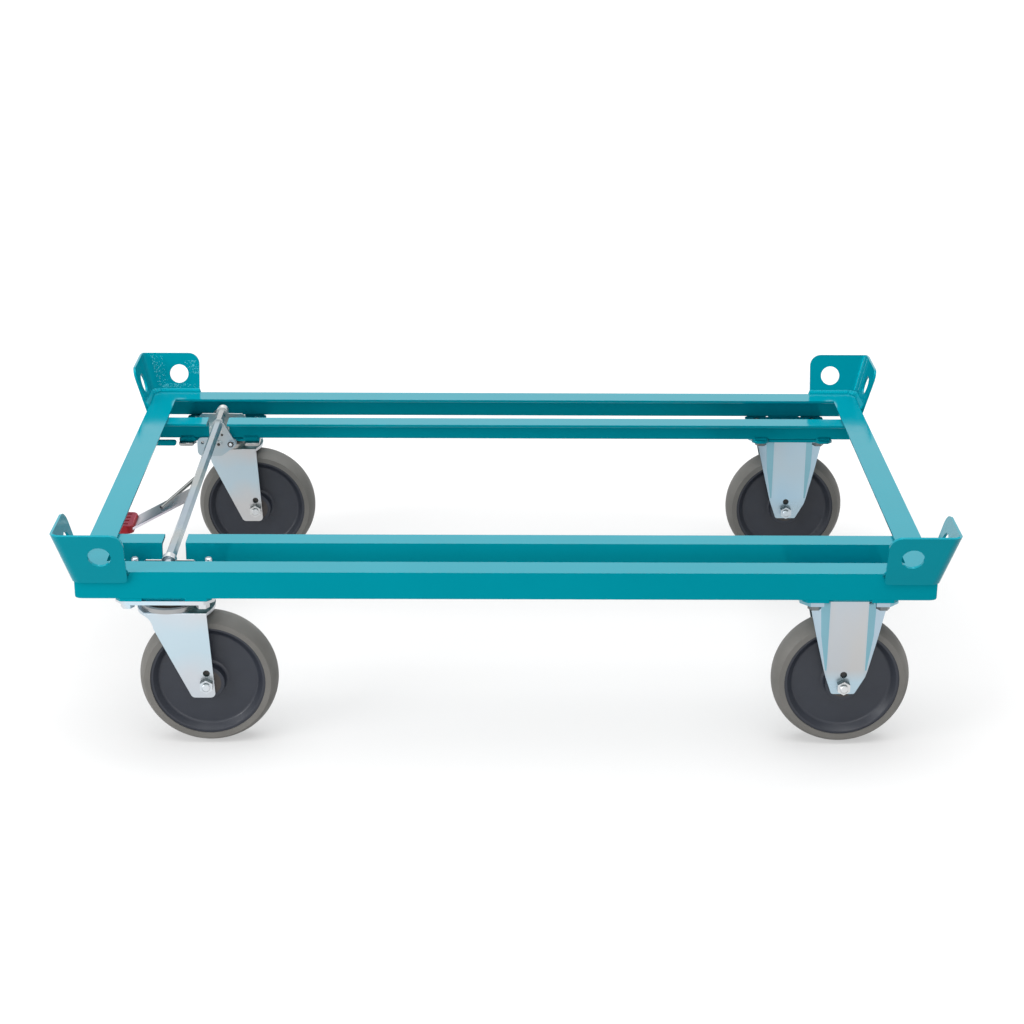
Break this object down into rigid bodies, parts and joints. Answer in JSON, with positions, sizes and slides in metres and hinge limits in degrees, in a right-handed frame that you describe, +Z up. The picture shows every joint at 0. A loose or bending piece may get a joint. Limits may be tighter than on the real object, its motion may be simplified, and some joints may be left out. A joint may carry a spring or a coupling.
{
  "type": "pallet dolly",
  "caption": "Low pallet dolly of welded angle rails with flared corner brackets, fixed and swivel casters and a pedal-worked central brake.",
  "frame": {"origin": "on the floor under the middle of the frame", "axes": "+X along the frame towards the fixed casters, +Y across it, +Z up"},
  "size_m": [1.2624, 0.8624, 0.3476],
  "materials": {
    "paint": "smooth powder coat",
    "zinc": "bright zinc plate",
    "tread": "matt grey rubber",
    "rim": "dark nylon",
    "bearing": "ground steel",
    "race": "blackened steel",
    "pad": "red rubber",
    "shoe": "dull steel"
  },
  "bodies": {
    "frame": {"caster_bolts": "zinc", "caster_nuts": "zinc", "caster_washers": "zinc", "corner_bracket_front_left": "paint", "corner_bracket_front_right": "paint", "corner_bracket_rear_left": "paint", "corner_bracket_rear_right": "paint", "fixed_axle_bolts": "zinc", "fixed_axle_nuts": "zinc", "fixed_axle_sleeves": "zinc", "fixed_fork_front": "zinc", "fixed_fork_rear": "zinc", "fixed_mounting_plates": "paint", "front_inner_rail": "paint", "front_rail": "paint", "inner_rail_stubs": "paint", "kingpins": "zinc", "left_end_rail": "paint", "rear_inner_rail": "paint", "rear_rail": "paint", "right_end_rail": "paint", "rod_brackets": "zinc", "stop_plate": "zinc", "swivel_mounting_plates": "paint", "swivel_plate_front": "zinc", "swivel_plate_rear": "zinc", "swivel_races": "race", "tie_lug": "paint"},
    "swivel_front": {"swivel_fork_front": "zinc", "seal_ring_front": "zinc", "swivel_axle_bolt_front": "zinc", "swivel_axle_nut_front": "zinc", "swivel_axle_sleeve_front": "zinc"},
    "swivel_rear": {"swivel_fork_rear": "zinc", "seal_ring_rear": "zinc", "swivel_axle_bolt_rear": "zinc", "swivel_axle_nut_rear": "zinc", "swivel_axle_sleeve_rear": "zinc"},
    "wheel_front_left": {"wheel_tread_front_left": "tread", "wheel_rim_front_left": "rim", "wheel_bearings_front_left": "bearing"},
    "wheel_rear_left": {"wheel_tread_rear_left": "tread", "wheel_rim_rear_left": "rim", "wheel_bearings_rear_left": "bearing"},
    "wheel_front_right": {"wheel_tread_front_right": "tread", "wheel_rim_front_right": "rim", "wheel_bearings_front_right": "bearing"},
    "wheel_rear_right": {"wheel_tread_rear_right": "tread", "wheel_rim_rear_right": "rim", "wheel_bearings_rear_right": "bearing"},
    "brake": {"brake_rod": "zinc", "brake_lever": "zinc", "brake_cams": "zinc", "pedal_arm": "zinc", "pedal_brace": "zinc", "pedal_pad": "pad"},
    "brake_shoe_front": {"brake_plunger_front": "zinc", "brake_shoe_front": "shoe"},
    "brake_shoe_rear": {"brake_plunger_rear": "zinc", "brake_shoe_rear": "shoe"}
  },
  "joints": [
    {"name": "front_swivel", "type": "hinge", "parent": "frame", "child": "swivel_front", "pos_m": [-0.4815, -0.349, 0.238], "axis": [0, 0, 1], "continuous": true},
    {"name": "front_left_roll", "type": "hinge", "parent": "swivel_front", "child": "wheel_front_left", "pos_m": [-0.429, -0.349, 0.1], "axis": [0, 1, 0], "continuous": true},
    {"name": "front_right_roll", "type": "hinge", "parent": "frame", "child": "wheel_front_right", "pos_m": [0.4845, -0.349, 0.1], "axis": [0, 1, 0], "continuous": true},
    {"name": "rear_swivel", "type": "hinge", "parent": "frame", "child": "swivel_rear", "pos_m": [-0.4815, 0.349, 0.238], "axis": [0, 0, 1], "continuous": true},
    {"name": "rear_left_roll", "type": "hinge", "parent": "swivel_rear", "child": "wheel_rear_left", "pos_m": [-0.429, 0.349, 0.1], "axis": [0, 1, 0], "continuous": true},
    {"name": "rear_right_roll", "type": "hinge", "parent": "frame", "child": "wheel_rear_right", "pos_m": [0.4845, 0.349, 0.1], "axis": [0, 1, 0], "continuous": true},
    {"name": "brake_pedal", "type": "hinge", "parent": "frame", "child": "brake", "pos_m": [-0.4815, 0, 0.271], "axis": [0, -1, 0], "range_deg": [0, 20]},
    {"name": "front_brake_slide", "type": "slide", "parent": "swivel_front", "child": "brake_shoe_front", "axis": [0, 0, -1], "range_m": [0, 0.004]},
    {"name": "rear_brake_slide", "type": "slide", "parent": "swivel_rear", "child": "brake_shoe_rear", "axis": [0, 0, -1], "range_m": [0, 0.004]}
  ],
  "couplings": [
    {"joint": "front_brake_slide", "follows": "brake_pedal", "m_per_rad": 0.011458},
    {"joint": "rear_brake_slide", "follows": "brake_pedal", "m_per_rad": 0.011458}
  ]
}
